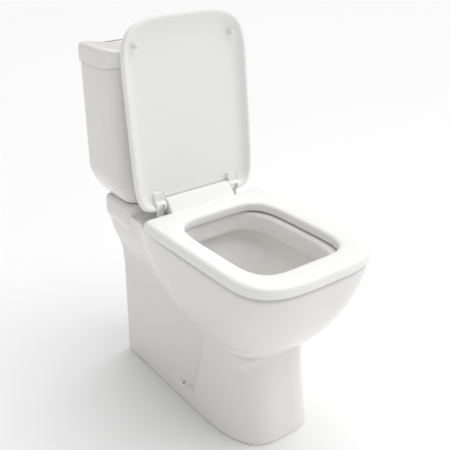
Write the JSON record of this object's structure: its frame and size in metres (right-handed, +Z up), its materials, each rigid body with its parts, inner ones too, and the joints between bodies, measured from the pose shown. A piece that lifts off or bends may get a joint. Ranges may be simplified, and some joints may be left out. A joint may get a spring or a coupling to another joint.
{
  "type": "close coupled toilet",
  "caption": "Close coupled toilet: ceramic pan with a coupled cistern, hinged seat and lid, push button flush and fill valve.",
  "frame": {"origin": "on the floor, in the middle of the plan box", "axes": "+Z up, -Y out of the pan's front, +Y towards the wall behind, +X to the right seen from the front"},
  "size_m": [0.39, 0.637, 0.9047],
  "materials": {
    "glazed_ceramic": "glossy vitreous glaze, white",
    "seat_plastic": "polished white thermoset",
    "white_fittings": "moulded white plastic",
    "grey_fittings": "moulded grey plastic",
    "black_rubber": "matt moulded rubber",
    "clear_buffer": "translucent soft plastic",
    "stainless_steel": "turned",
    "brass": "turned",
    "chrome": "polished plating"
  },
  "bodies": {
    "toilet": {"pan": "glazed_ceramic", "cistern_body": "glazed_ceramic", "cistern_lid": "glazed_ceramic", "hinge_post_left": "white_fittings", "hinge_pin_left": "stainless_steel", "hinge_stud_left": "stainless_steel", "expansion_sleeve_left": "black_rubber", "bolt_washer_left": "black_rubber", "coupling_bolt_left": "brass", "wing_nut_left": "brass", "shelf_washer_left": "clear_buffer", "hinge_post_right": "white_fittings", "hinge_pin_right": "stainless_steel", "hinge_stud_right": "stainless_steel", "expansion_sleeve_right": "black_rubber", "bolt_washer_right": "black_rubber", "coupling_bolt_right": "brass", "wing_nut_right": "brass", "shelf_washer_right": "clear_buffer", "sealing_ring": "black_rubber", "flush_valve_tail": "white_fittings", "tail_washer": "black_rubber", "back_nut": "white_fittings", "valve_cage": "white_fittings", "button_collar": "chrome", "collar_nut": "white_fittings", "fill_valve": "white_fittings", "inlet_washer": "black_rubber", "inlet_nut": "white_fittings", "lever_pin": "stainless_steel"},
    "seat": {"seat_ring": "seat_plastic", "seat_bumper_rear_left": "clear_buffer", "seat_bumper_rear_right": "clear_buffer", "seat_bumper_front_left": "clear_buffer", "seat_bumper_front_right": "clear_buffer"},
    "lid": {"seat_lid": "seat_plastic", "lid_bumper_left": "clear_buffer", "lid_bumper_right": "clear_buffer"},
    "full_button": {"full_flush_button": "chrome"},
    "half_button": {"half_flush_button": "chrome"},
    "piston": {"flush_piston": "grey_fittings", "piston_seal": "black_rubber"},
    "float": {"float_cup": "grey_fittings"},
    "lever": {"fill_lever": "white_fittings"}
  },
  "joints": [
    {"name": "seat_hinge", "type": "hinge", "parent": "toilet", "child": "seat", "pos_m": [0, 0.1315, 0.482], "axis": [-1, 0, 0], "range_deg": [0, 95]},
    {"name": "lid_hinge", "type": "hinge", "parent": "toilet", "child": "lid", "pos_m": [0, 0.1315, 0.482], "axis": [-1, 0, 0], "range_deg": [-96, 0]},
    {"name": "full_flush", "type": "slide", "parent": "toilet", "child": "full_button", "axis": [0, 0, -1], "range_m": [0, 0.006], "stiffness_N_per_m": 800},
    {"name": "half_flush", "type": "slide", "parent": "toilet", "child": "half_button", "axis": [0, 0, -1], "range_m": [0, 0.006], "stiffness_N_per_m": 800},
    {"name": "piston_lift", "type": "slide", "parent": "toilet", "child": "piston", "axis": [0, 0, 1], "range_m": [0, 0.018]},
    {"name": "float_rise", "type": "slide", "parent": "toilet", "child": "float", "axis": [0, 0, 1], "range_m": [0, 0.014]},
    {"name": "lever_swing", "type": "hinge", "parent": "toilet", "child": "lever", "pos_m": [0.1361, 0.2735, 0.762], "axis": [0, 1, 0], "range_deg": [0, 22]}
  ],
  "couplings": [
    {"joint": "piston_lift", "follows": "full_flush", "ratio": 3},
    {"joint": "lever_swing", "follows": "float_rise", "rad_per_m": 27.4}
  ]
}
